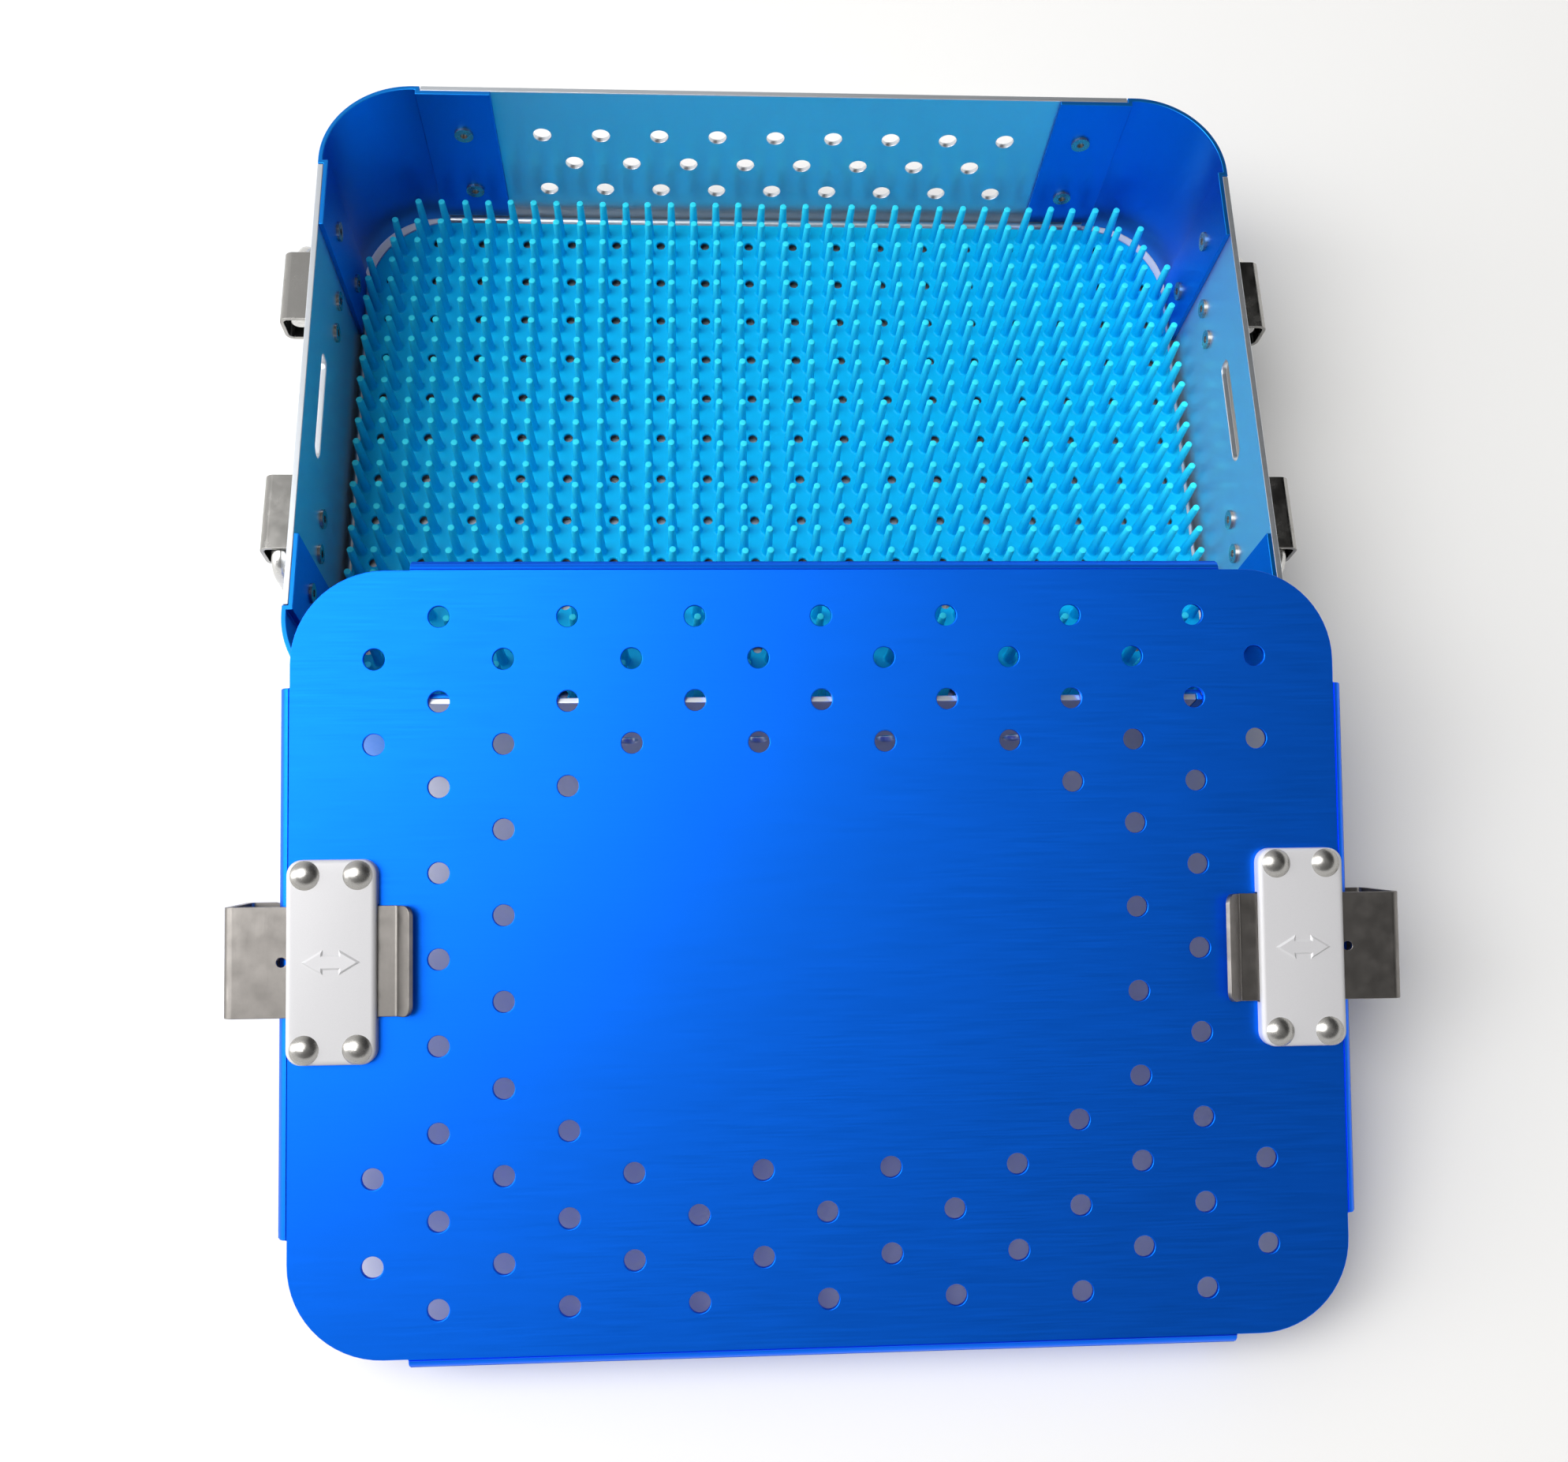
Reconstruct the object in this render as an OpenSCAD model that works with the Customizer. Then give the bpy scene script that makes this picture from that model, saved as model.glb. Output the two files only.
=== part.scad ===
// Dental instrument cassette: a folded aluminium tray with blue corner pieces,
// a silicone finger mat, wire handles and a perforated lid with two slide latches.
// Origin: centre of the tray's underside. X is to the right, Y to the back, Z up.

/* [Tray] */
// Outside width of the tray, left to right
tray_w = 245; // [220:1:280]
// Outside depth of the tray, front to back
tray_d = 177; // [165:1:210]
// Height of the tray's rim above its underside
tray_h = 56; // [54:1:70]
// Thickness of the tray's sheet
sheet_t = 1.5; // [1.2:0.1:2]
// Outer radius of the bend between floor and walls
bend_r = 3; // [2.5:0.1:4]
// Radius that rounds off each corner of the floor
floor_corner_r = 24; // [20:1:30]

/* [Corner pieces] */
// Outer radius of a corner piece
corner_r = 23.6; // [20:0.1:25]
// Distance from the tray's corner to where its bare wall begins
corner_reach = 25.6; // [25.4:0.1:28]
// Length of the flange that lies behind the wall
flange_len = 18.7; // [15:0.1:20]
// Sheet thickness of a corner piece
corner_t = 1.2; // [1:0.1:1.5]
// Gap between a corner piece and the wall's edge
seam = 0.2; // [0.1:0.05:0.4]
// Height of a corner piece's lower edge above the underside
corner_lift = 0.3; // [0.2:0.1:1]
// Height of the flange's lower edge above the floor's bend
flange_lift = 1; // [0.5:0.1:2]

/* [Holes] */
// Diameter of the steam holes
hole_d = 5; // [3:0.1:6]
// Spacing of the wall holes along a row
wall_pitch_x = 16.44; // [14:0.01:20]
// Spacing of the rows of wall holes
wall_pitch_z = 11.7; // [9:0.1:13]
// Height of the lowest row of wall holes
wall_row_z = 15.5; // [12:0.1:20]
// Number of rows of wall holes
wall_rows = 3; // [1:1:3]
// Sheet left between the last wall hole and a corner piece's flange
hole_land = 2; // [1:0.5:4]
// Spacing of lid and floor holes along a row
grid_x = 30; // [26:1:36]
// Spacing of the rows of lid holes
lid_row = 10; // [8:0.5:12]
// Spacing of the rows of floor holes
floor_row = 20; // [16:1:24]

/* [Rivets] */
// Diameter of a rivet's shank
rivet_d = 3.2; // [2.8:0.1:3.6]
// Diameter of a rivet's domed head
rivet_head_d = 6.8; // [5.5:0.1:7.5]
// Height of a rivet's domed head
rivet_head_h = 1.4; // [1:0.1:1.8]
// Outside diameter of the set end of a rivet
rivet_tail_d = 5.2; // [4.6:0.1:6]
// Height of the set end of a rivet
rivet_tail_h = 0.7; // [0.5:0.1:1.4]
// Bore of a rivet's open set end
rivet_bore_d = 2; // [1:0.1:2.2]
// Distance of the corner rivets from the tray's corner
corner_rivet_reach = 35.2; // [34:0.1:37]
// Height of the lower corner rivets
corner_rivet_z = 16.2; // [12:0.1:20]
// Spacing of the two corner rivets on a wall
corner_rivet_pitch = 24; // [18:0.1:26]

/* [Mat] */
// Clearance between the silicone mat and the side walls
mat_gap_x = 2.2; // [2:0.1:12]
// Clearance between the silicone mat and the front and back walls
mat_gap_y = 5.5; // [4:0.1:15]
// Distance that the mat lies nearer to the back wall
mat_shift_y = 1; // [0:0.1:2]
// Corner radius of the mat
mat_r = 24; // [18:1:30]
// Thickness of the mat under the backing strips
mat_t = 2; // [1.5:0.1:3]
// Thickness of the strips that the fingers grow from
strip_t = 0.5; // [0.3:0.1:1]
// Distance that a strip reaches past its fingers
strip_edge = 0.05; // [0:0.05:0.2]
// Height of a finger above its strip
finger_h = 15.2; // [8:0.1:18]
// Width of a finger across its corners at the root
finger_root_d = 3; // [2:0.1:3.4]
// Width of a finger across its corners at the tip
finger_tip_d = 1.8; // [1.2:0.1:1.9]
// Spacing of the mat's columns of fingers
finger_pitch_x = 6.64; // [6.4:0.01:7.5]
// Spacing of the mat's rows of fingers
finger_pitch_y = 6.52; // [6.4:0.01:7.5]
// Distance kept free between the fingers and the mat's edge
finger_edge = 0.3; // [0.2:0.1:1]
// Diameter of the mat's drain holes
drain_d = 2.5; // [1.5:0.1:2.8]

/* [Handles] */
// Distance along the wall from a corner piece's flange to a bracket
bracket_gap = 0.95; // [0.5:0.05:4]
// Length of a bracket along the wall
bracket_l = 20.5; // [16:0.5:21]
// Height of a bracket's top
bracket_top_z = 45.2; // [44:0.1:47]
// Height of a bracket's channel
channel_h = 9.9; // [9:0.1:11]
// Distance that a bracket stands out from the wall
channel_out = 10; // [9:0.1:12]
// Outer bend radius of a bracket
bracket_bend_r = 2.3; // [1.5:0.1:3]
// Sheet thickness of a bracket
bracket_t = 1; // [0.8:0.1:1.1]
// Height of the riveted flange below the channel
bracket_flange_h = 9.6; // [9.4:0.1:12]
// Spacing of a bracket's two rivets
bracket_rivet_pitch = 10; // [8:0.1:12]
// Height of the bracket rivets below the channel
bracket_rivet_drop = 5; // [4:0.1:5.6]
// Diameter of the handle's wire
wire_d = 4.6; // [4:0.1:4.8]
// Distance of the handle's turning axis from the wall
pivot_out = 5.2; // [4.6:0.1:6]
// Clearance between the wire and the bracket's top
pivot_clear = 0.3; // [0.3:0.05:1]
// Distance from a bracket's end to a handle's leg
leg_gap = 1.45; // [1.45:0.05:4]
// Drop from the turning axis to the grip
handle_drop = 32; // [24:0.5:34]
// Centre line radius of the wire's bend at the bracket
foot_bend_r = 4.6; // [3.5:0.1:5]
// Centre line radius of the wire's bend at the grip
grip_bend_r = 7; // [5:0.5:12]
// Distance that a foot's end stays inside its bracket
foot_inset = 1; // [0.5:0.1:3]

/* [Lid] */
// Clearance between the lid's side flange and the tray
lid_gap_x = 2.7; // [2.2:0.1:4]
// Clearance between the lid's front and back flanges and the tray
lid_gap_y = 3.3; // [2.2:0.1:4]
// Sheet thickness of the lid
lid_t = 1.3; // [1:0.1:1.6]
// Height of the lid's flanges over all
lid_h = 17.4; // [14:0.1:18]
// Outer bend radius of the lid
lid_bend_r = 2.1; // [1.8:0.1:3]
// Distance from the lid's corner to the ends of its flanges
lid_cut = 29.7; // [28:0.1:34]
// Corner radius of the lid's plate
lid_corner_r = 22; // [18:1:28]
// Distance that the leaning lid reaches in over the tray's front wall
lid_overlap = 33.6; // [28:0.1:40]
// Sideways offset of the leaning lid
lid_shift = 5.9; // [4.8:0.1:8]
// Clearance where the leaning lid touches the table and the rim
lean_clear = 0.1; // [0.05:0.05:0.3]

/* [Lid's bare panel] */
// Half the width of the panel that has no holes
panel_half_w = 50; // [46:1:56]
// Half the depth of the panel that has no holes
panel_half_d = 45; // [42:1:48]
// Half the width of the panel beside its middle
panel_mid_half_w = 65; // [62:1:70]
// Half the depth of the panel's wider middle
panel_mid_half_d = 35; // [32:1:38]
// Width of a latch's place without holes, in from the lid's side edge
latch_zone = 26.5; // [24:0.5:31]
// Distance kept free of holes along the plate's edge
hole_margin = 8; // [6:0.5:10]

/* [Latches] */
// Distance from a latch cover's middle to the lid's side edge
cover_in = 12.5; // [11.6:0.1:14]
// Width of a latch cover, along the slide
cover_w = 20.6; // [19:0.1:22]
// Length of a latch cover, across the slide
cover_l = 47; // [45:0.5:52]
// Thickness of a latch cover
cover_t = 3; // [2.8:0.1:4]
// Corner radius of a latch cover
cover_r = 3.5; // [2.5:0.1:4]
// Bevel along a latch cover's upper edge
cover_bevel = 1.3; // [0.5:0.1:1.5]
// Rivet spacing of a latch cover along the slide
cover_rivet_x = 12; // [10:0.5:12.5]
// Rivet spacing of a latch cover across the slide
cover_rivet_y = 39.8; // [36:0.1:40]
// Width of a latch slide
slide_w = 25.5; // [22:0.5:26]
// Sheet thickness of a latch slide
slide_t = 1.2; // [1:0.1:1.3]
// Clearance over and under a latch slide
slide_clear = 0.15; // [0.1:0.05:0.3]
// Clearance beside a latch slide
slide_side_clear = 0.3; // [0.2:0.1:0.6]
// Distance from the lid's side edge to the open slide's outer face
slide_out = 12.5; // [11.5:0.1:13]
// Clearance between the lid's side flange and the lip of the hook below it
hook_clear = 1; // [0.4:0.1:1.3]
// Length of the hook's inturned lip over all
hook_lip = 9.2; // [8:0.1:9.5]
// Outer bend radius of a slide
slide_bend_r = 2.4; // [1.8:0.1:3]
// Distance from the cover to the root of the finger lip
finger_lip_gap = 4.5; // [4:0.1:6]
// Length of the finger lip on the level
finger_lip_run = 3.6; // [3:0.1:5]
// Height of the finger lip
finger_lip_rise = 3.2; // [2.6:0.1:6]
// Diameter of the slide's small hole
catch_d = 2.2; // [2:0.1:3]
// Distance of the slide's small hole from the cover
catch_gap = 1.3; // [1:0.1:3]
// Length of the slot that the hook enters
slot_l = 30; // [28:0.5:34]
// Height of the slot that the hook enters
slot_h = 5.4; // [5:0.1:6]
// Clearance between the slot and the lip of a closed hook, below the lip
slot_clear = 0.4; // [0.2:0.1:0.6]
// Length of the arrow on a latch cover
arrow_l = 13.4; // [10:0.1:15]
// Width of the arrow's heads
arrow_w = 5.9; // [4.5:0.1:7]
// Length of each head of the arrow
arrow_head = 4.9; // [3.5:0.1:5.2]
// Width of the arrow's shaft
arrow_shaft = 3.4; // [1.5:0.1:3.8]
// Height that the arrow stands out
arrow_rise = 0.25; // [0.15:0.05:0.4]

/* [Hidden] */
$fn = 64;

// The two signs of a mirrored pair, and a small overlap that fuses neighbours
sides = [-1, 1];
fuse = 0.2;
cut = 1;
// A rivet's shank is a little thinner than its hole
shank_clear = 0.03;
// A length too small to see, which keeps two arcs from meeting in one point
hair = 0.01;

// Tray
half_w = tray_w / 2;
half_d = tray_d / 2;
wall_half_w = half_w - corner_reach;
wall_half_d = half_d - corner_reach;
flange_z = bend_r + flange_lift;
bare_half_w = wall_half_w - flange_len - hole_d / 2 - hole_land;

// Mat
mat_w = tray_w - 2 * (sheet_t + mat_gap_x);
mat_d = tray_d - 2 * (sheet_t + mat_gap_y);
mat_z = sheet_t;
strip_z = mat_z + mat_t;
strip_w = finger_pitch_y + finger_root_d + 2 * strip_edge;
finger_cols = 2 * floor((mat_w - finger_root_d) / 2 / finger_pitch_x + 0.5);
finger_half_rows = floor((mat_d - finger_root_d) / 2 / finger_pitch_y);
finger_inset = finger_root_d / 2 + finger_edge;

// Handles
bracket_y = wall_half_d - flange_len - bracket_gap - bracket_l / 2;
leg_y = bracket_y + bracket_l / 2 + leg_gap + wire_d / 2;
channel_z = bracket_top_z - channel_h;
pivot_z = bracket_top_z - bracket_t - pivot_clear - wire_d / 2;
bracket_rivet_z = channel_z - bracket_rivet_drop;
foot_end_y = bracket_y - bracket_l / 2 + foot_inset;

// Lid
lid_w = tray_w + 2 * (lid_gap_x + lid_t);
lid_d = tray_d + 2 * (lid_gap_y + lid_t);
lid_half_w = lid_w / 2;
lid_half_d = lid_d / 2;
// The lid stands on its front flange and leans on the rim of the front wall
reach_a = lid_d - lid_overlap;
reach_b = lid_h - lid_t;
lean = asin(tray_h / norm([reach_a, reach_b])) - atan2(reach_b, reach_a);
lid_z = lid_half_d * sin(lean) + lid_h * cos(lean) + lean_clear;
lid_y = -half_d - (lid_half_d - lid_overlap) * cos(lean) - lid_t * sin(lean);

// Latches
latch_zone_x = lid_half_w - latch_zone;
cover_x = lid_half_w - cover_in;
slide_x = lid_half_w + slide_out;
groove_h = slide_t + 2 * slide_clear;
lip_root_x = cover_x - cover_w / 2 - finger_lip_gap;
hook_depth = lid_h + hook_clear + slide_t;
slot_z = tray_h + lid_t - hook_depth - slot_clear + slot_h / 2;

// A rectangle with rounded corners, centred
module rounded_plate(w, d, r, h) {
  linear_extrude(h) {
    square([w - 2 * r, d], center = true);
    square([w, d - 2 * r], center = true);
    for (x = sides, y = sides) translate([x * (w / 2 - r), y * (d / 2 - r)]) circle(r);
  }
}

// True where a point lies inside a centred rounded rectangle
function in_plate(x, y, w, d, r) =
  let (dx = max(abs(x) - (w / 2 - r), 0), dy = max(abs(y) - (d / 2 - r), 0))
  dx * dx + dy * dy < r * r;

// One folded edge: a strip of wall that hangs from a bend, drawn with its top outer
// corner at the origin, the plate towards -X and the strip's run along Y
module folded_edge(run, height, t, r) {
  rotate([90, 0, 0]) linear_extrude(run, center = true) {
    intersection() {
      translate([-r, -r]) difference() {
        circle(r);
        circle(r - t);
      }
      translate([-r, -r]) square(r);
    }
    translate([-r - fuse, -t]) square([2 * fuse, t]);
    translate([-t, -height]) square([t, height - r + fuse]);
  }
}

// Puts what faces +X on the left, on the right, at the front or at the back
module on_side(side) {
  mirror([side < 0 ? 1 : 0, 0, 0]) children();
}

module on_corner(side_x, side_y) {
  mirror([side_x < 0 ? 1 : 0, 0, 0]) mirror([0, side_y < 0 ? 1 : 0, 0]) children();
}

// A rivet along Z: its head's seat is at z = 0 and its set end lies below the grip
module rivet(grip) {
  dome_r = (pow(rivet_head_d / 2, 2) + pow(rivet_head_h, 2)) / (2 * rivet_head_h);
  intersection() {
    translate([0, 0, rivet_head_h - dome_r]) sphere(dome_r);
    cylinder(h = 2 * rivet_head_h, d = rivet_head_d + cut);
  }
  difference() {
    union() {
      translate([0, 0, -grip - fuse]) cylinder(h = grip + 2 * fuse, r = rivet_d / 2 - shank_clear);
      translate([0, 0, -grip - rivet_tail_h]) cylinder(h = rivet_tail_h, d = rivet_tail_d);
    }
    translate([0, 0, -grip - rivet_tail_h - cut]) cylinder(h = rivet_tail_h + cut, d = rivet_bore_d);
  }
}

// Puts a child at each rivet of one corner, with Z pointing out of the tray
module at_corner_rivets() {
  for (k = [0, 1]) {
    z = corner_rivet_z + k * corner_rivet_pitch;
    translate([half_w, half_d - corner_rivet_reach, z]) rotate([0, 90, 0]) children();
    translate([half_w - corner_rivet_reach, half_d, z]) rotate([-90, 0, 0]) children();
  }
}

// Puts a child at each rivet of the right wall's brackets, with Z pointing out of the tray
module at_bracket_rivets() {
  for (y = sides, k = sides)
    translate([half_w + bracket_t, y * bracket_y + k * bracket_rivet_pitch / 2, bracket_rivet_z])
      rotate([0, 90, 0]) children();
}

// A rivet hole through the two sheets
module rivet_hole(grip) {
  translate([0, 0, -grip - cut]) cylinder(h = grip + 2 * cut, d = rivet_d);
}

// Rows of steam holes in the front or back wall, staggered by half a pitch
module wall_holes() {
  for (row = [0 : wall_rows - 1]) {
    shift = row % 2 == 0 ? 0 : wall_pitch_x / 2;
    last = floor((bare_half_w - shift) / wall_pitch_x);
    for (k = [0 : last], side = sides)
      if (side > 0 || k + shift > 0)
        translate([side * (shift + k * wall_pitch_x), half_d + cut, wall_row_z + row * wall_pitch_z])
          rotate([90, 0, 0]) cylinder(h = sheet_t + 2 * cut, d = hole_d);
  }
}

// Staggered rows of holes through a level plate whose top is at z = 0
module grid_holes(half_x, half_y, row_step, t, lid_pattern) {
  rows = floor(half_y / row_step);
  for (row = [-rows : rows]) {
    y = row * row_step;
    shift = (row + rows) % 2 == 0 ? 0 : grid_x / 2;
    last = floor((half_x - shift) / grid_x);
    for (k = [0 : last], side = sides) {
      x = shift + k * grid_x;
      if ((side > 0 || x > 0) && (!lid_pattern || !in_bare_panel(x, y)))
        translate([side * x, y, -t - cut]) cylinder(h = t + 2 * cut, d = hole_d);
    }
  }
}

// The lid's middle and the latches' places have no holes
function in_bare_panel(x, y) =
  (abs(y) < panel_half_d && (abs(x) < panel_half_w || abs(x) > latch_zone_x))
  || (abs(y) < panel_mid_half_d && abs(x) < panel_mid_half_w);

module tray_pan() {
  color("lightsteelblue") difference() {
    union() {
      rounded_plate(tray_w - 2 * bend_r, tray_d - 2 * bend_r, floor_corner_r, sheet_t);
      for (side = sides) {
        on_side(side) translate([half_w, 0, 0]) mirror([0, 0, 1])
          folded_edge(2 * wall_half_d, tray_h, sheet_t, bend_r);
        on_corner(1, side) translate([0, half_d, 0]) mirror([0, 0, 1]) rotate([0, 0, 90])
          folded_edge(2 * wall_half_w, tray_h, sheet_t, bend_r);
      }
    }
    translate([0, 0, sheet_t])
      grid_holes(half_w - 2 * hole_margin, half_d - corner_reach, floor_row, sheet_t, false);
    for (side = sides) {
      on_corner(1, side) wall_holes();
      on_side(side) {
        latch_slot();
        at_bracket_rivets() rivet_hole(sheet_t + bracket_t);
      }
      for (side_y = sides) on_corner(side, side_y) at_corner_rivets() rivet_hole(sheet_t);
    }
  }
}

// The slot in the right wall that a latch's hook enters
module latch_slot() {
  translate([half_w - sheet_t - cut, 0, slot_z]) rotate([0, 90, 0])
    rounded_plate(slot_h, slot_l, slot_h / 2 - hair, sheet_t + 2 * cut);
}

module corner_piece() {
  inner = sheet_t + corner_t;
  difference() {
    union() {
      translate([0, 0, corner_lift]) linear_extrude(tray_h - corner_lift) {
        intersection() {
          translate([half_w - corner_r, half_d - corner_r]) difference() {
            circle(corner_r);
            circle(corner_r - corner_t);
          }
          translate([half_w - corner_r, half_d - corner_r]) square(corner_r);
        }
        translate([wall_half_w + seam, half_d - corner_t])
          square([corner_reach - seam - corner_r + fuse, corner_t]);
        translate([half_w - corner_t, wall_half_d + seam])
          square([corner_t, corner_reach - seam - corner_r + fuse]);
      }
      translate([0, 0, flange_z]) linear_extrude(tray_h - flange_z) {
        translate([wall_half_w - flange_len, half_d - inner]) square([flange_len + seam + fuse, corner_t]);
        translate([half_w - inner, wall_half_d - flange_len]) square([corner_t, flange_len + seam + fuse]);
        translate([wall_half_w + seam, half_d - inner]) square([corner_t, inner]);
        translate([half_w - inner, wall_half_d + seam]) square([inner, corner_t]);
      }
    }
    at_corner_rivets() rivet_hole(sheet_t + corner_t);
  }
}

module corner_rivets() {
  color("gainsboro") at_corner_rivets() rivet(sheet_t + corner_t);
}

module front_left_corner() {
  color("royalblue") on_corner(-1, -1) corner_piece();
}

module front_right_corner() {
  color("royalblue") on_corner(1, -1) corner_piece();
}

module back_left_corner() {
  color("royalblue") on_corner(-1, 1) corner_piece();
}

module back_right_corner() {
  color("royalblue") on_corner(1, 1) corner_piece();
}

module front_left_rivets() {
  on_corner(-1, -1) corner_rivets();
}

module front_right_rivets() {
  on_corner(1, -1) corner_rivets();
}

module back_left_rivets() {
  on_corner(-1, 1) corner_rivets();
}

module back_right_rivets() {
  on_corner(1, 1) corner_rivets();
}

// Where column i and row j of the mat's grid stand
function finger_x(i) = (i - (finger_cols - 1) / 2) * finger_pitch_x;
function finger_y(j) = j * finger_pitch_y;

// Each drain hole lies in the middle of four fingers, at every second row and column
module silicone_mat() {
  color("deepskyblue") translate([0, mat_shift_y, 0]) difference() {
    translate([0, 0, mat_z]) rounded_plate(mat_w, mat_d, mat_r, mat_t);
    for (i = [1 : 2 : finger_cols - 1], j = [finger_half_rows - 1 : -2 : -finger_half_rows]) {
      x = finger_x(i) - finger_pitch_x / 2;
      y = finger_y(j) + finger_pitch_y / 2;
      if (in_plate(x, y, mat_w - 2 * drain_d, mat_d - 2 * drain_d, mat_r - drain_d))
        translate([x, y, mat_z - cut]) cylinder(h = mat_t + 2 * cut, d = drain_d, $fn = 16);
    }
  }
}

// Every second finger of the mat, on strips that leave the rows of drain holes open
module mat_fingers() {
  color("deepskyblue") translate([0, mat_shift_y, 0])
    for (strip = [finger_half_rows + 1 : -2 : -finger_half_rows - 1]) intersection() {
      translate([0, 0, strip_z]) rounded_plate(mat_w, mat_d, mat_r, strip_t + finger_h, $fn = 32);
      union() {
        translate([-mat_w / 2, finger_y(strip - 0.5) - strip_w / 2, strip_z])
          cube([mat_w, strip_w, strip_t]);
        for (i = [0 : finger_cols - 1], j = [strip - 1, strip])
          if ((i + j + 2 * finger_half_rows) % 2 == 0
              && in_plate(finger_x(i), finger_y(j), mat_w - 2 * finger_inset,
                          mat_d - 2 * finger_inset, mat_r - finger_inset))
            translate([finger_x(i), finger_y(j), strip_z])
              cylinder(h = strip_t + finger_h, d1 = finger_root_d, d2 = finger_tip_d, $fn = 4);
      }
    }
}

// A pressed channel with a riveted flange below it, on the right wall
module bracket() {
  color("lightgray") difference() {
    translate([half_w, bracket_y, 0]) rotate([90, 0, 0]) linear_extrude(bracket_l, center = true) {
      difference() {
        channel_outline(0, bracket_bend_r);
        channel_outline(bracket_t, bracket_bend_r - bracket_t);
      }
      translate([0, channel_z - bracket_flange_h]) square([bracket_t, bracket_flange_h + bracket_t]);
    }
    at_bracket_rivets() rivet_hole(sheet_t + bracket_t);
  }
}

// The channel's section, inset by a distance, with its outer two corners rounded
module channel_outline(inset, r) {
  out = channel_out - inset;
  low = channel_z + inset;
  high = bracket_top_z - inset;
  start = inset > 0 ? -cut : 0;
  translate([start, low]) square([out - r - start, high - low]);
  translate([0, low + r]) square([out, high - low - 2 * r]);
  translate([out - r, low + r]) circle(r);
  translate([out - r, high - r]) circle(r);
}

module right_back_bracket() {
  bracket();
}

module right_front_bracket() {
  on_corner(1, -1) bracket();
}

module left_back_bracket() {
  on_corner(-1, 1) bracket();
}

module left_front_bracket() {
  on_corner(-1, -1) bracket();
}

module right_bracket_rivets() {
  color("gainsboro") at_bracket_rivets() rivet(sheet_t + bracket_t);
}

module left_bracket_rivets() {
  on_side(-1) right_bracket_rivets();
}

// A quarter turn of wire about X, from a run along Y down into a run along -Z
module wire_bend(r) {
  translate([0, 0, -r]) rotate([90, 0, 90])
    rotate_extrude(angle = 90) translate([r, 0]) circle(d = wire_d, $fn = 32);
}

// The right handle's wire, hanging down: a foot in each bracket, two legs and the grip
module right_handle() {
  grip_z = pivot_z - handle_drop;
  grip_half = leg_y - grip_bend_r;
  color("silver") translate([half_w + pivot_out, 0, 0]) {
    translate([0, 0, grip_z]) rotate([90, 0, 0])
      cylinder(h = 2 * grip_half, d = wire_d, center = true, $fn = 32);
    for (side = sides) mirror([0, side < 0 ? 1 : 0, 0]) {
      translate([0, foot_end_y, pivot_z]) rotate([-90, 0, 0])
        cylinder(h = leg_y - foot_bend_r - foot_end_y, d = wire_d, $fn = 32);
      translate([0, leg_y - foot_bend_r, pivot_z]) wire_bend(foot_bend_r);
      translate([0, leg_y, grip_z + grip_bend_r])
        cylinder(h = handle_drop - foot_bend_r - grip_bend_r, d = wire_d, $fn = 32);
      translate([0, leg_y - grip_bend_r, grip_z]) mirror([0, 0, 1]) wire_bend(grip_bend_r);
    }
  }
}

module left_handle() {
  on_side(-1) right_handle();
}

// Everything on the lid is drawn with the middle of the lid's top at the origin
module on_lid() {
  translate([lid_shift, lid_y, lid_z]) rotate([lean, 0, 0]) children();
}

module at_cover_rivets() {
  for (x = sides, y = sides)
    translate([cover_x + x * cover_rivet_x / 2, y * cover_rivet_y / 2, 0]) children();
}

module lid_plate() {
  color("dodgerblue") on_lid() difference() {
    union() {
      translate([0, 0, -lid_t])
        rounded_plate(lid_w - 2 * lid_bend_r, lid_d - 2 * lid_bend_r, lid_corner_r, lid_t);
      for (side = sides) {
        on_side(side) translate([lid_half_w, 0, 0])
          folded_edge(lid_d - 2 * lid_cut, lid_h, lid_t, lid_bend_r);
        on_corner(1, side) translate([0, lid_half_d, 0]) rotate([0, 0, 90])
          folded_edge(lid_w - 2 * lid_cut, lid_h, lid_t, lid_bend_r);
      }
    }
    grid_holes(lid_half_w - 2 * hole_margin, lid_half_d - hole_margin, lid_row, lid_t, true);
    for (side = sides) on_side(side) at_cover_rivets() rivet_hole(lid_t);
  }
}

// A plate with a bevelled upper edge: a straight-sided part and a tapering part on it
module bevelled_plate(w, d, r, h, bevel) {
  low = h - bevel;
  rounded_plate(w, d, r, low);
  for (x = sides, y = sides) translate([x * (w / 2 - r), y * (d / 2 - r), low])
    cylinder(h = bevel, r1 = r, r2 = r - bevel);
  translate([0, 0, low]) rotate([90, 0, 0]) linear_extrude(d - 2 * r, center = true)
    polygon([[-w / 2, 0], [w / 2, 0], [w / 2 - bevel, bevel], [bevel - w / 2, bevel]]);
  translate([0, 0, low]) rotate([90, 0, 90]) linear_extrude(w - 2 * r, center = true)
    polygon([[-d / 2, 0], [d / 2, 0], [d / 2 - bevel, bevel], [bevel - d / 2, bevel]]);
}

// A double-headed arrow along X
module arrow() {
  shaft_half = arrow_l / 2 - arrow_head;
  for (side = sides) mirror([side < 0 ? 1 : 0, 0])
    polygon([[-fuse, arrow_shaft / 2], [shaft_half, arrow_shaft / 2], [shaft_half, arrow_w / 2],
             [arrow_l / 2, 0], [shaft_half, -arrow_w / 2], [shaft_half, -arrow_shaft / 2],
             [-fuse, -arrow_shaft / 2]]);
}

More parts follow.
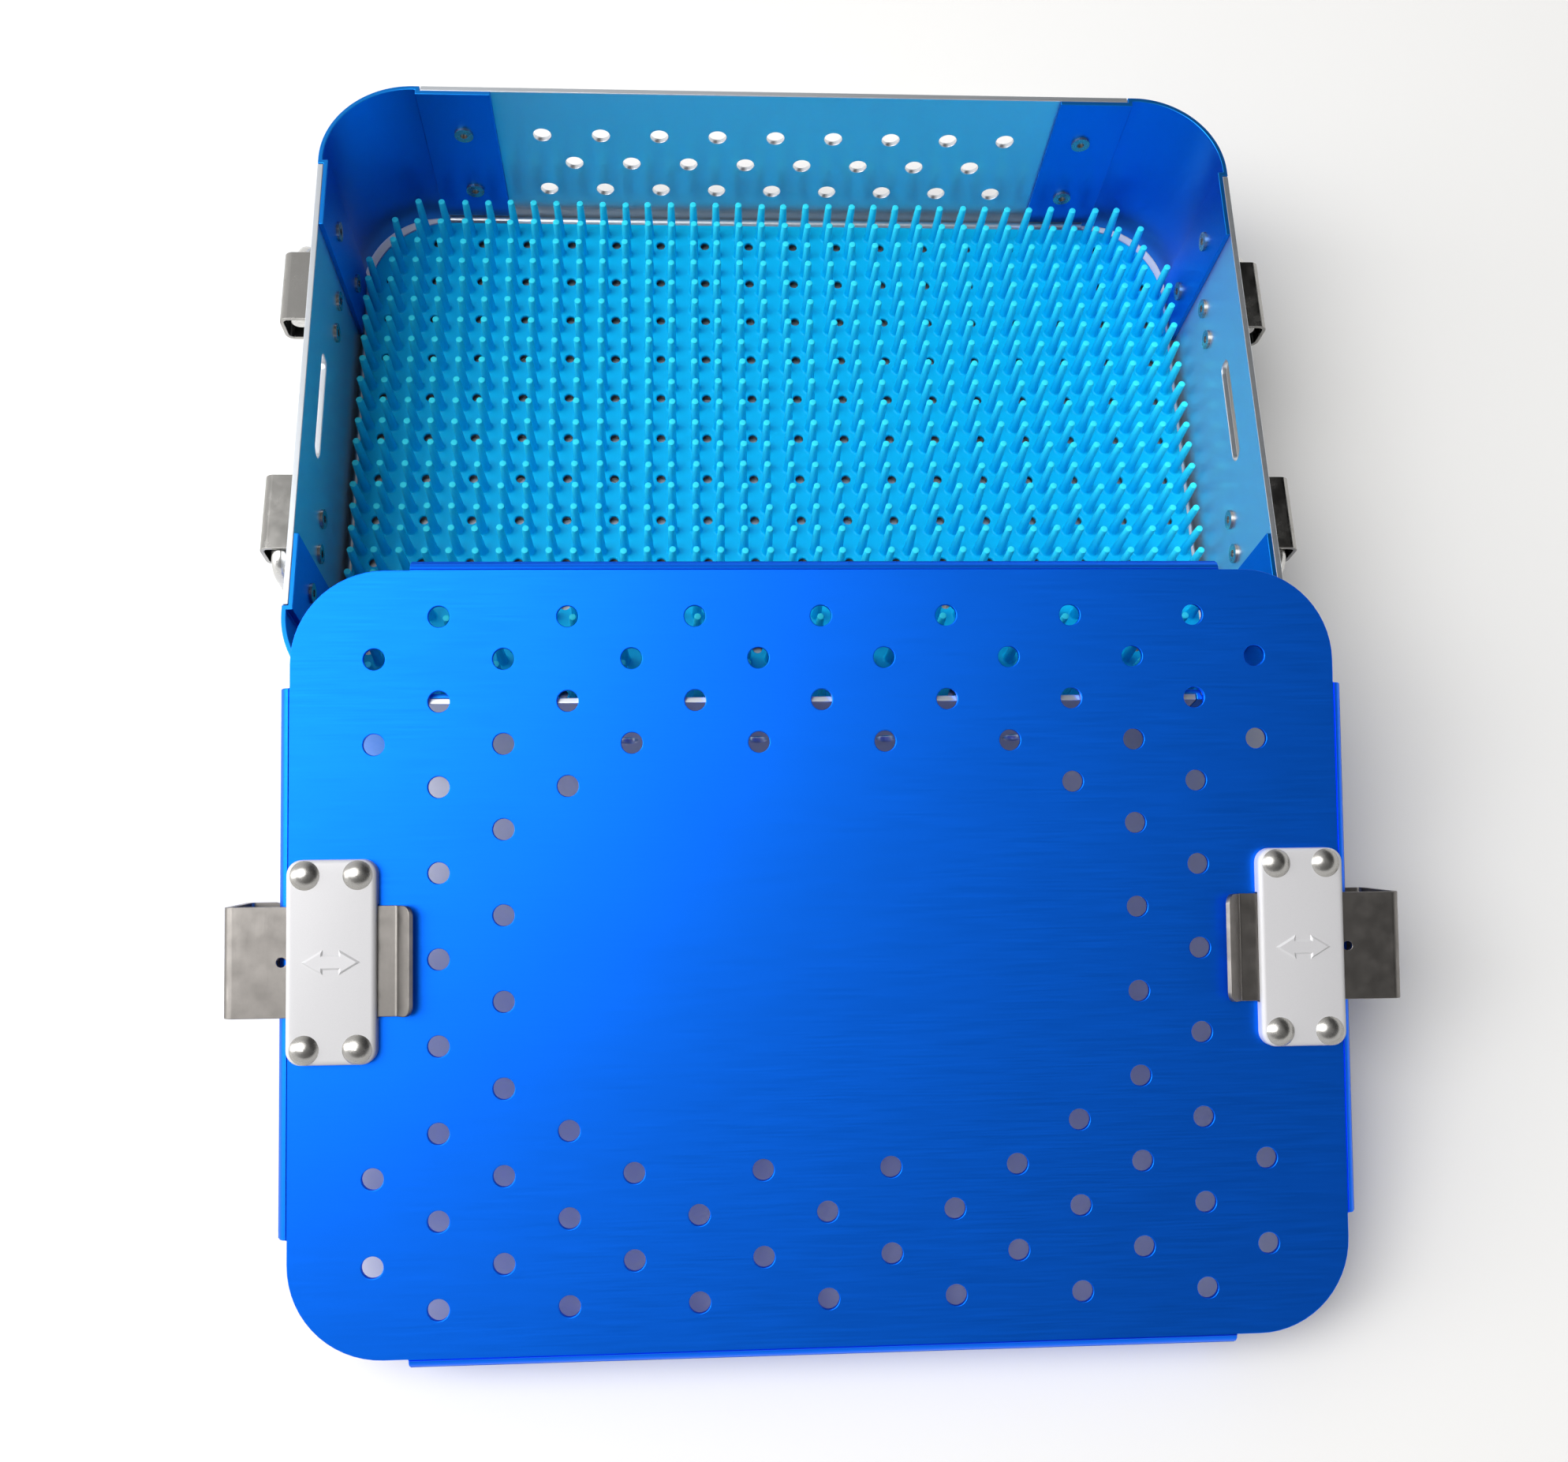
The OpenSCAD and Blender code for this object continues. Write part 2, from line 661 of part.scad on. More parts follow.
module latch_cover() {
  color("whitesmoke") difference() {
    union() {
      translate([cover_x, 0, 0]) bevelled_plate(cover_w, cover_l, cover_r, cover_t, cover_bevel);
      translate([cover_x, 0, cover_t - fuse]) linear_extrude(arrow_rise + fuse) arrow();
    }
    translate([cover_x - cover_w, -slide_w / 2 - slide_side_clear, -cut])
      cube([2 * cover_w, slide_w + 2 * slide_side_clear, groove_h + cut]);
    at_cover_rivets() translate([0, 0, -cut]) cylinder(h = cover_t + 2 * cut, d = rivet_d);
  }
}

module right_latch_cover() {
  on_lid() latch_cover();
}

module left_latch_cover() {
  on_lid() on_side(-1) latch_cover();
}

module latch_rivets() {
  color("gainsboro") at_cover_rivets() translate([0, 0, cover_t]) rivet(lid_t + cover_t);
}

module right_latch_rivets() {
  on_lid() latch_rivets();
}

module left_latch_rivets() {
  on_lid() on_side(-1) latch_rivets();
}

// A strip that slides under the cover, with a hook outside and a lip for the finger
module latch_slide() {
  slope = norm([finger_lip_run, finger_lip_rise]);
  off_x = slide_t * finger_lip_rise / slope;
  off_z = slide_t * finger_lip_run / slope;
  r = slide_bend_r;
  top = slide_clear + slide_t;
  color("slategray") difference() {
    rotate([90, 0, 0]) linear_extrude(slide_w, center = true) {
      translate([lip_root_x, slide_clear]) square([slide_x - r - lip_root_x, slide_t]);
      polygon([[lip_root_x, slide_clear], [lip_root_x + slide_t, slide_clear],
               [lip_root_x + off_x, slide_clear + off_z],
               [lip_root_x - finger_lip_run + off_x, slide_clear + finger_lip_rise + off_z],
               [lip_root_x - finger_lip_run, slide_clear + finger_lip_rise]]);
      translate([slide_x - r, top - r]) quarter_ring(r, r - slide_t);
      translate([slide_x - slide_t, r - hook_depth]) square([slide_t, top + hook_depth - 2 * r]);
      translate([slide_x - r, r - hook_depth]) mirror([0, 1]) quarter_ring(r, r - slide_t);
      translate([slide_x - hook_lip, -hook_depth]) square([hook_lip - r, slide_t]);
    }
    translate([cover_x + cover_w / 2 + catch_gap, 0, -cut]) cylinder(h = slide_t + 2 * cut, d = catch_d);
  }
}

// A quarter of a ring, in the quadrant of +X and +Y
module quarter_ring(outer, inner) {
  intersection() {
    difference() {
      circle(outer);
      circle(inner);
    }
    translate([-hair, -hair]) square(outer + cut);
  }
}

module right_latch_slide() {
  on_lid() latch_slide();
}

module left_latch_slide() {
  on_lid() on_side(-1) latch_slide();
}

tray_pan();
silicone_mat();
mat_fingers();
front_left_corner();
front_right_corner();
back_left_corner();
back_right_corner();
front_left_rivets();
front_right_rivets();
back_left_rivets();
back_right_rivets();
left_front_bracket();
left_back_bracket();
right_front_bracket();
right_back_bracket();
left_bracket_rivets();
right_bracket_rivets();
left_handle();
right_handle();
lid_plate();
left_latch_cover();
right_latch_cover();
left_latch_rivets();
right_latch_rivets();
left_latch_slide();
right_latch_slide();
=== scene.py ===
import math
import random

import bmesh
import bpy
from bpy.props import FloatProperty, FloatVectorProperty, IntProperty, PointerProperty
from bpy.types import Operator, Panel, PropertyGroup
from mathutils import Euler, Matrix, Vector


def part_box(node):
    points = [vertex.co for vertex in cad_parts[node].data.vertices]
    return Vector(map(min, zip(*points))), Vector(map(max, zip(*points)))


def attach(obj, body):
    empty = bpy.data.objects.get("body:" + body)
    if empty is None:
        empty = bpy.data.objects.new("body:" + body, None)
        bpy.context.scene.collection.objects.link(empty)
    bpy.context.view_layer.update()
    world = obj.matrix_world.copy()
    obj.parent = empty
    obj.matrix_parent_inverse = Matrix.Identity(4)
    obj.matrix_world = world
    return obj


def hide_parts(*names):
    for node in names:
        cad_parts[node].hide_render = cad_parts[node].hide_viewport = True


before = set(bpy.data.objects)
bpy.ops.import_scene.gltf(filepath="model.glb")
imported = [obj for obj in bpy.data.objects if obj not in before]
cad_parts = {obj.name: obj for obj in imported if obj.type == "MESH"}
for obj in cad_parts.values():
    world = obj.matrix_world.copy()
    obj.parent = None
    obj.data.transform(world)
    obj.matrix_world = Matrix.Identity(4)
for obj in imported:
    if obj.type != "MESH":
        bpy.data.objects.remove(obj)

bl_info = {
    "name": "Dental instrument cassette",
    "version": (1, 0, 0),
    "blender": (4, 5, 0),
    "location": "3D View > Sidebar > Cassette",
    "description": "Finishes and fine shapes of a dental instrument cassette with its lid leaning open",
    "category": "Object",
}

MM = 0.001
SIDES = (-1, 1)
SIDE_NAMES = {-1: "left", 1: "right"}
WELD_GAP = 0.002 * MM  # points of a CAD mesh that lie closer than this are one point
FLAT_ANGLE = 0.1  # faces that turn by less than this, in degrees, are one flat face
EDGE_ANGLE = 35  # edges that turn by more than this, in degrees, are real edges


def linear(code):
    """An sRGB hex colour as the linear red, green, blue and alpha that Blender works in."""
    channels = [int(code[i:i + 2], 16) / 255 for i in (1, 3, 5)]
    return [c / 12.92 if c <= 0.04045 else ((c + 0.055) / 1.055) ** 2.4 for c in channels] + [1.0]


def size(name, text, default, low=0.0, high=1.0):
    """A length property in metres, given here in millimetres."""
    return FloatProperty(name=name, description=text, default=default * MM, min=low * MM,
                         max=high * 1000 * MM, unit="LENGTH", precision=5)


def colour(name, text, code):
    """A colour property, given here as an sRGB hex colour."""
    return FloatVectorProperty(name=name, description=text, default=linear(code), size=4, min=0, max=1,
                               subtype="COLOR")


# Sizes that the frame gives
TRAY_LOW, TRAY_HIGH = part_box("tray_pan")
LID_LOW, LID_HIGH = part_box("lid_plate")
MAT_LOW, MAT_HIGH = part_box("silicone_mat")
FINGERS_LOW, FINGERS_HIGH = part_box("mat_fingers")
LID_CENTRE_X = (LID_LOW.x + LID_HIGH.x) / 2
LID_HALF_W = (LID_HIGH.x - LID_LOW.x) / 2


class CassetteSizes(PropertyGroup):
    # Finger mat
    pitch_x: size("Column pitch", "Spacing of the mat's columns of fingers", 6.64)
    pitch_y: size("Row pitch", "Spacing of the mat's rows of fingers", 6.52)
    finger_root: size("Finger root", "Diameter of a finger just above its root", 2.7)
    finger_tip: size("Finger tip", "Diameter of a finger at its flat tip", 1.9)
    finger_flare: size("Root flare", "Radius of the flare where a finger leaves the mat", 0.55)
    tip_round: size("Tip rounding", "Radius around a finger's tip", 0.18)
    tip_wander: size("Tip wander", "How far a finger's tip strays from upright", 0.22)
    drain_hole: size("Drain hole", "Diameter of the mat's drain holes", 2.9)
    drain_edge: size("Drain hole edge", "Rounding at a drain hole's rim", 0.15)
    mat_edge: size("Mat edge rounding", "Radius along the mat's edges", 0.4)
    mat_corner: size("Mat corner", "Corner radius of the mat", 24)
    mat_reach: size("Mat reach", "How much farther back the mat reaches than its plain solid", 0.9)
    finger_edge: size("Finger edge", "Distance kept free between the fingers and the mat's edge", 0.3)
    strip_rise: size("Mat skin", "How much thicker the mat is than its plain backing", 0.5)
    # Lid
    lid_depth: size("Lid depth", "Front to back size of the lid over its flanges", 186.2)
    lid_height: size("Lid height", "Height of the lid's flanges over all", 17.4)
    lid_sheet: size("Lid sheet", "Sheet thickness of the lid", 1.3)
    lid_overlap: size("Lid overlap", "How far the leaning lid reaches in over the tray's front wall", 33.6)
    lean_clear: size("Lean clearance", "Clearance under the leaning lid", 0.1)
    # Latches
    cover_inset: size("Cover inset", "Distance from a cover's middle to the lid's side edge", 12.5)
    cover_width: size("Cover width", "Size of a latch cover along its slide", 20.6)
    cover_length: size("Cover length", "Size of a latch cover across its slide", 47)
    cover_thickness: size("Cover thickness", "Height of a latch cover", 3)
    cover_corner: size("Cover corner", "Corner radius of a latch cover", 3.5)
    cover_round: size("Cover rounding", "Width of the rounded edge of a latch cover", 1.3)
    arrow_length: size("Arrow length", "Length of the raised arrow", 13.4)
    arrow_width: size("Arrow width", "Width of the arrow's heads", 5.9)
    arrow_head: size("Arrow head", "Length of each of the arrow's heads", 4.9)
    arrow_shaft: size("Arrow shaft", "Width of the arrow's shaft", 3.4)
    arrow_rise: size("Arrow rise", "Height that the arrow stands out", 0.35)
    arrow_slope: size("Arrow slope", "Width of the arrow's sloping sides", 0.45)
    slide_width: size("Slide width", "Width of a latch slide", 25.5)
    slide_sheet: size("Slide sheet", "Sheet thickness of a latch slide", 1.2)
    slide_clear: size("Slide clearance", "Clearance under a latch slide", 0.15)
    slide_side_clear: size("Slide side clearance", "Clearance beside a latch slide", 0.3)
    slide_out: size("Slide reach", "Distance from the lid's side to the open slide's outer face", 12.5)
    slide_bend: size("Slide bend", "Outer bend radius of a latch slide", 2.4)
    hook_clear: size("Hook clearance", "Clearance between the lid's side flange and the hook's lip", 1)
    hook_lip: size("Hook lip", "Length of the hook's inturned lip over all", 9.2)
    lip_gap: size("Finger lip gap", "Distance from the cover to the finger lip's root", 4.5)
    lip_run: size("Finger lip run", "Length of the finger lip on the level", 3.6)
    lip_rise: size("Finger lip rise", "Height of the finger lip", 3.2)
    lip_corner: size("Lip corner", "Radius of the corners of a slide's ends", 2.4)
    catch_hole: size("Catch hole", "Diameter of the small hole in a slide", 2.2)
    catch_gap: size("Catch hole gap", "Distance from the cover to the small hole", 1.3)
    # Edges of sheet and wire
    sheet_edge: size("Sheet edge", "Rounding of the cut edges of blue and silver sheet", 0.22)
    steel_edge: size("Steel edge", "Rounding of the cut edges of stainless sheet", 0.16)
    wire_edge: size("Wire edge", "Rounding of the ends of the handles' wire", 0.3)
    edge_steps: IntProperty(name="Edge steps", description="Faces across a rounded edge", default=3, min=1,
                            max=8)


class CassetteColours(PropertyGroup):
    lid_blue: colour("Lid blue", "Dye of the lid's anodised aluminium", "#1074FF")
    corner_blue: colour("Corner blue", "Dye of the corner pieces' anodised aluminium", "#1C86E4")
    tray_silver: colour("Tray silver", "Clear anodised aluminium of the tray", "#DDE2E8")
    cover_silver: colour("Cover silver", "Bead-blasted, clear anodised latch cover", "#DAD9DB")
    bracket_steel: colour("Bracket steel", "Stainless sheet of the handle brackets", "#B0AEAA")
    slide_steel: colour("Slide steel", "Stainless sheet of the latch slides", "#8A8682")
    wire: colour("Wire", "Bright stainless wire of the handles", "#D0CFCC")
    rivet: colour("Rivet", "Polished steel of the rivets", "#ACAAA6")
    silicone: colour("Silicone", "Pigment of the silicone mat", "#00CCFA")
    # Painted light: the paler colour painted on the fingers' tips, standing in for light through the narrow
    # silicone there.
    silicone_tip_light: colour("Silicone tips", "Thin silicone at the fingers' tips", "#38E8FF")
    floor: colour("Floor", "Pale table top", "#F7F6F4")


class CassetteStage(PropertyGroup):
    lens: FloatProperty(name="Lens", description="Focal length on a 36 mm sensor", default=35.705, min=10,
                        max=200, subtype="DISTANCE_CAMERA")
    camera_place: FloatVectorProperty(name="Camera place", description="Where the camera stands",
                                      default=(-0.02519, -0.21089, 0.40483), subtype="TRANSLATION")
    camera_turn: FloatVectorProperty(name="Camera turn", description="Camera's rotation about X, Y and Z",
                                     default=[math.radians(a) for a in (18.3232, -3.1126, -1.4848)],
                                     subtype="EULER")
    window_place: FloatVectorProperty(name="Window place", description="Middle of the large soft light",
                                      default=(-0.9, -0.1, 1.7), subtype="TRANSLATION")
    window_width: size("Window width", "Size of the large soft light from side to side", 1500, 10)
    window_length: size("Window length", "Front to back size of the large soft light", 1800, 10)
    window_radiance: FloatProperty(name="Window radiance", description="Brightness of the soft light",
                                   default=3.7, min=0)
    low_window_place: FloatVectorProperty(name="Low window place", description="Middle of the low light",
                                          default=(-1.5, -0.15, 0.8), subtype="TRANSLATION")
    low_window_width: size("Low window width", "Size of the low soft light from side to side", 900, 10)
    low_window_radiance: FloatProperty(name="Low window radiance", description="Brightness of the low light",
                                       default=3.0, min=0)
    room_glow: FloatProperty(name="Room, glow", description="Brightness added far left in the room",
                             default=0.3, min=0)
    room_left: FloatProperty(name="Room, left", description="Brightness of the room from the left on",
                             default=0.46, min=0)
    room_right: FloatProperty(name="Room, right", description="Brightness of the room on the right",
                              default=0.12, min=0)
    room_near: FloatProperty(name="Room, near", description="Share of that brightness on the viewer's side",
                             default=0.4, min=0)
    dark_corner: FloatVectorProperty(name="Dark corner", description="Direction of the room's dark corner",
                                     default=(0.8, 0.45, 0.45), subtype="DIRECTION")
    floor_lift: FloatProperty(name="Floor lift", description="Light that the camera sees added to the floor",
                              default=0.06, min=0)
    floor_size: size("Floor size", "Side of the table top", 6000)


def sizes():
    return bpy.context.scene.cassette_sizes


def colours():
    return bpy.context.scene.cassette_colours


# Materials

def add_node(tree, kind, inputs=None, **settings):
    """Adds a node, sets its fields, and gives its inputs values or other nodes' outputs."""
    node = tree.nodes.new(kind)
    for field, value in settings.items():
        setattr(node, field, value)
    for key, value in (inputs or {}).items():
        if isinstance(value, bpy.types.NodeSocket):
            tree.links.new(value, node.inputs[key])
        else:
            node.inputs[key].default_value = value
    return node


def new_material(name, inputs):
    """A material with one shader, whose uniform values are given here."""
    material = bpy.data.materials.new(name)
    material.use_nodes = True
    tree = material.node_tree
    tree.nodes.clear()
    shader = add_node(tree, "ShaderNodeBsdfPrincipled", inputs)
    add_node(tree, "ShaderNodeOutputMaterial", {"Surface": shader.outputs["BSDF"]})
    return material, tree, shader


def pattern(tree, spacing, detail=2.0):
    """Noise in object space. spacing is the real size of its features along X, Y and Z, in millimetres."""
    place = add_node(tree, "ShaderNodeTexCoord")
    scaled = add_node(tree, "ShaderNodeMapping",
                      {"Vector": place.outputs["Object"], "Scale": [1 / (s * MM) for s in spacing]})
    noise = add_node(tree, "ShaderNodeTexNoise",
                     {"Vector": scaled.outputs["Vector"], "Scale": 1.0, "Detail": detail})
    return noise.outputs["Fac"]


def darker(tone, factor):
    """A linear colour at a share of its brightness."""
    return [c * factor for c in tone[:3]] + [1.0]


def anodised_aluminium(name, dye, roughness, metallic=1.0):
    """Rolled aluminium sheet, etched and dyed: a satin metal whose dye colours its reflections, with the
    sheet's rolling grain along X as faint streaks in its gloss."""
    material, tree, shader = new_material(name, {"Metallic": metallic})
    streaks = pattern(tree, (16, 0.35, 0.35), 3.0)
    clouds = pattern(tree, (45, 30, 30))
    tone = add_node(tree, "ShaderNodeMix", {"Factor": clouds, 6: darker(dye, 0.9), 7: dye}, data_type="RGBA")
    gloss = add_node(tree, "ShaderNodeMapRange", {"Value": streaks, "From Min": 0.3, "From Max": 0.7,
                                                  "To Min": roughness - 0.03, "To Max": roughness + 0.04})
    relief = add_node(tree, "ShaderNodeBump", {"Height": streaks, "Distance": 0.002 * MM})
    tree.links.new(tone.outputs[2], shader.inputs["Base Color"])
    tree.links.new(gloss.outputs["Result"], shader.inputs["Roughness"])
    tree.links.new(relief.outputs["Normal"], shader.inputs["Normal"])
    return material


def blasted_aluminium(name, silver):
    """Bead-blasted, clear anodised aluminium: an even, pale satin that hardly mirrors anything."""
    material, tree, shader = new_material(name, {"Metallic": 0.1, "Roughness": 0.46})
    grain = pattern(tree, (0.25, 0.25, 0.25), 1.0)
    tone = add_node(tree, "ShaderNodeMix", {"Factor": grain, 6: darker(silver, 0.94), 7: silver},
                    data_type="RGBA")
    relief = add_node(tree, "ShaderNodeBump", {"Height": grain, "Distance": 0.006 * MM})
    tree.links.new(tone.outputs[2], shader.inputs["Base Color"])
    tree.links.new(relief.outputs["Normal"], shader.inputs["Normal"])
    return material


def stainless_sheet(name, steel, roughness):
    """Cold-rolled stainless sheet, cut and bent: grey, with handling scratches and dull smudges."""
    material, tree, shader = new_material(name, {"Metallic": 1.0})
    smudges = pattern(tree, (4, 4, 4), 4.0)
    scratches = pattern(tree, (0.25, 4, 4))
    tone = add_node(tree, "ShaderNodeMix", {"Factor": smudges, 6: darker(steel, 0.7), 7: steel},
                    data_type="RGBA")
    gloss = add_node(tree, "ShaderNodeMapRange", {"Value": smudges, "From Min": 0.3, "From Max": 0.7,
                                                  "To Min": roughness + 0.1, "To Max": roughness - 0.08})
    relief = add_node(tree, "ShaderNodeBump", {"Height": scratches, "Distance": 0.008 * MM})
    tree.links.new(tone.outputs[2], shader.inputs["Base Color"])
    tree.links.new(gloss.outputs["Result"], shader.inputs["Roughness"])
    tree.links.new(relief.outputs["Normal"], shader.inputs["Normal"])
    return material


def polished_steel(name, steel, roughness):
    """Bright drawn or headed steel: a soft mirror with a few fine drawing marks."""
    material, tree, shader = new_material(name, {"Metallic": 0.9, "Base Color": steel})
    marks = pattern(tree, (1.2, 1.2, 1.2), 3.0)
    gloss = add_node(tree, "ShaderNodeMapRange", {"Value": marks, "From Min": 0.3, "From Max": 0.7,
                                                  "To Min": roughness, "To Max": roughness + 0.1})
    relief = add_node(tree, "ShaderNodeBump", {"Height": marks, "Distance": 0.008 * MM})
    tree.links.new(gloss.outputs["Result"], shader.inputs["Roughness"])
    tree.links.new(relief.outputs["Normal"], shader.inputs["Normal"])
    return material


def moulded_silicone(name, pigment, lit_tip, skin, low, high):
    """Moulded silicone rubber: satin, and slightly see-through. Painted light makes the fingers paler from a
    low height up to a high one, for the light through their narrow tips, and painted shade makes the inside
    of the drain holes, below the skin, dark."""
    material, tree, shader = new_material(name, {"Roughness": 0.45, "IOR": 1.41, "Specular IOR Level": 0.2})
    place = add_node(tree, "ShaderNodeTexCoord")
    axes = add_node(tree, "ShaderNodeSeparateXYZ", {"Vector": place.outputs["Object"]})
    # Painted light: the colour turns paler from low to high, up the fingers to their tips.
    height = add_node(tree, "ShaderNodeMapRange", {
        "Value": axes.outputs["Z"], "From Min": low, "From Max": high}, interpolation_type="SMOOTHSTEP")
    tone = add_node(tree, "ShaderNodeMix", {"Factor": height.outputs["Result"], 6: pigment, 7: lit_tip},
                    data_type="RGBA")
    # Painted shade: below the skin, inside the drain holes, the colour fades to nearly black.
    depth = add_node(tree, "ShaderNodeMapRange", {"Value": axes.outputs["Z"], "From Min": skin - 1.2 * MM,
                                                  "From Max": skin - 0.3 * MM})
    shaded = add_node(tree, "ShaderNodeMix", {"Factor": depth.outputs["Result"], 6: darker(pigment, 0.03),
                                              7: tone.outputs[2]}, data_type="RGBA")
    bloom = pattern(tree, (1.5, 1.5, 1.5), 3.0)
    relief = add_node(tree, "ShaderNodeBump", {"Height": bloom, "Distance": 0.01 * MM})
    tree.links.new(shaded.outputs[2], shader.inputs["Base Color"])
    tree.links.new(relief.outputs["Normal"], shader.inputs["Normal"])
    return material


# Meshes

def show_node(name, material, edge=0.0):
    """Gives a CAD node its finish, and rounds its cut edges."""
    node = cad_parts[name]
    for slot in node.material_slots:
        slot.material = material
    if edge:
        round_edges(node, edge)


def round_edges(piece, width):
    """Rounds every edge that turns by more than a smooth surface's facets do."""
    weld = piece.modifiers.new("Weld", "WELD")
    weld.merge_threshold = WELD_GAP
    flats = piece.modifiers.new("Flats", "DECIMATE")
    flats.decimate_type = "DISSOLVE"
    flats.angle_limit = math.radians(FLAT_ANGLE)
    bevel = piece.modifiers.new("Edges", "BEVEL")
    bevel.width = width
    bevel.segments = sizes().edge_steps
    bevel.limit_method = "ANGLE"
    bevel.angle_limit = math.radians(EDGE_ANGLE)
    bevel.use_clamp_overlap = False
    normals = piece.modifiers.new("Normals", "WEIGHTED_NORMAL")
    normals.keep_sharp = True
    for face in piece.data.polygons:
        face.use_smooth = True


def new_piece(name, mesh, material, body, replaced=()):
    """Puts a mesh in the scene as a piece that rides on a body and stands for its CAD nodes."""
    piece = bpy.data.objects.new(name, mesh)
    bpy.context.scene.collection.objects.link(piece)
    mesh.materials.clear()
    mesh.materials.append(material)
    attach(piece, body)
    if replaced:
        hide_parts(*replaced)
    return piece


def baked_mesh(piece, name):
    """The mesh of an object with its modifiers applied. The object itself goes."""
    graph = bpy.context.evaluated_depsgraph_get()
    mesh = bpy.data.meshes.new_from_object(piece.evaluated_get(graph))
    mesh.name = name
    bpy.data.objects.remove(piece)
    return mesh


def rounded_rectangle(width, depth, radius, steps=12):
    """Points round a centred rounded rectangle, anticlockwise."""
    points = []
    for corner in range(4):
        turn = corner * math.pi / 2
        sx, sy = ((1, 1), (-1, 1), (-1, -1), (1, -1))[corner]
        for i in range(steps + 1):
            a = turn + i / steps * math.pi / 2
            points.append(Vector((sx * (width / 2 - radius) + radius * math.cos(a),
                                  sy * (depth / 2 - radius) + radius * math.sin(a))))
    return points


def inset(points, distance):
    """Moves a closed anticlockwise outline inwards, with mitred corners."""
    moved = []
    for i, point in enumerate(points):
        before = (point - points[i - 1]).normalized()
        after = (points[(i + 1) % len(points)] - point).normalized()
        normal_a = Vector((-before.y, before.x))
        normal_b = Vector((-after.y, after.x))
        bisector = (normal_a + normal_b).normalized()
        moved.append(point + bisector * distance / max(0.3, bisector.dot(normal_a)))
    return moved


def add_stack(bm, outlines):
    """Skins outlines of equal length, given as (points, height), into a closed shell."""
    rings = [[bm.verts.new((p.x, p.y, z)) for p in points] for points, z in outlines]
    for low, high in zip(rings, rings[1:]):
        for i in range(len(low)):
            j = (i + 1) % len(low)
            bm.faces.new((low[i], low[j], high[j], high[i]))
    bm.faces.new(list(reversed(rings[0])))
    bm.faces.new(rings[-1])


def mesh_from(bm, name):
    mesh = bpy.data.meshes.new(name)
    bm.to_mesh(mesh)
    bm.free()
    return mesh


def smooth(mesh, limit):
    """Smooth shading that keeps edges sharper than the limit, in degrees."""
    for face in mesh.polygons:
        face.use_smooth = True
    mesh.set_sharp_from_angle(angle=math.radians(limit))


def cut_away(target, tool_mesh):
    """Cuts one mesh out of an object and returns the mesh that is left."""
    tool = bpy.data.objects.new("cutter", tool_mesh)
    bpy.context.scene.collection.objects.link(tool)
    cutter = target.modifiers.new("Cut", "BOOLEAN")
    cutter.operation = "DIFFERENCE"
    cutter.solver = "EXACT"
    cutter.object = tool
    mesh = baked_mesh(target, target.name)
    bpy.data.objects.remove(tool)
    return mesh


def loose_object(name, mesh):
    """Puts a mesh in the scene as an object."""
    piece = bpy.data.objects.new(name, mesh)
    bpy.context.scene.collection.objects.link(piece)
    return piece


# The leaning lid's place, worked out as the tray and lid make it

def lid_matrix():
    """From the lid's own frame, with its top's middle at the origin, to the row frame."""
    s = sizes()
    rim = TRAY_HIGH.z
    front = TRAY_LOW.y
    half = s.lid_depth / 2
    along = s.lid_depth - s.lid_overlap
    down = s.lid_height - s.lid_sheet
    lean = math.asin(rim / math.hypot(along, down)) - math.atan2(down, along)
    z = half * math.sin(lean) + s.lid_height * math.cos(lean) + s.lean_clear
    y = front - (half - s.lid_overlap) * math.cos(lean) - s.lid_sheet * math.sin(lean)
    return Matrix.Translation((LID_CENTRE_X, y, z)) @ Matrix.Rotation(lean, 4, "X")


def place_on_lid(mesh, side):
    """Puts a mesh that was made for the right side of a level lid on the leaning lid."""
    mirror = Matrix.Scale(side, 4, (1, 0, 0))
    mesh.transform(lid_matrix() @ mirror)
    if side < 0:
        mesh.flip_normals()
    mesh.update()


def cover_middle():
    """Distance of a latch cover's middle from the lid's middle."""
    return LID_HALF_W - sizes().cover_inset


# Pieces

def finger_rings(s, height):
    """Radius and height of each ring of a finger, from inside the mat to its tip."""
    root, tip = s.finger_root / 2, s.finger_tip / 2
    flare = s.finger_flare
    rings = [(root + flare, -0.3 * MM)]
    for i in range(4):
        a = i / 3 * math.pi / 2
        rings.append((root + flare * (1 - math.sin(a)), flare * (1 - math.cos(a))))
    for i in range(1, 4):
        share = i / 4
        rings.append((root + (tip - root) * share, flare + (height - flare - s.tip_round) * share))
    for i in range(3):
        a = i / 2 * math.pi / 2
        rings.append((tip - s.tip_round * (1 - math.cos(a)), height - s.tip_round * (1 - math.sin(a))))
    return rings


def mat_grid(s):
    """The mat's half sizes, the columns and rows of fingers on each side of its middle, and their margin."""
    half_w, half_d = (MAT_HIGH.x - MAT_LOW.x) / 2, (MAT_HIGH.y - MAT_LOW.y) / 2
    margin = s.finger_root / 2 + s.finger_edge
    return half_w, half_d, round((half_w - margin) / s.pitch_x), int((half_d - margin) / s.pitch_y), margin


def finger_places(s):
    """Where the fingers stand, inside the mat's rounded outline."""
    half_w, half_d, columns, rows, margin = mat_grid(s)
    for j in range(-rows, rows + 1):
        for i in range(-columns, columns):
            x, y = (i + 0.5) * s.pitch_x, j * s.pitch_y
            if inside(x, y, half_w - margin, half_d - margin, s.mat_corner - margin):
                yield x, y


def inside(x, y, half_w, half_d, radius):
    """Whether a point is inside a centred rounded rectangle."""
    dx = max(abs(x) - (half_w - radius), 0)
    dy = max(abs(y) - (half_d - radius), 0)
    return math.hypot(dx, dy) < radius


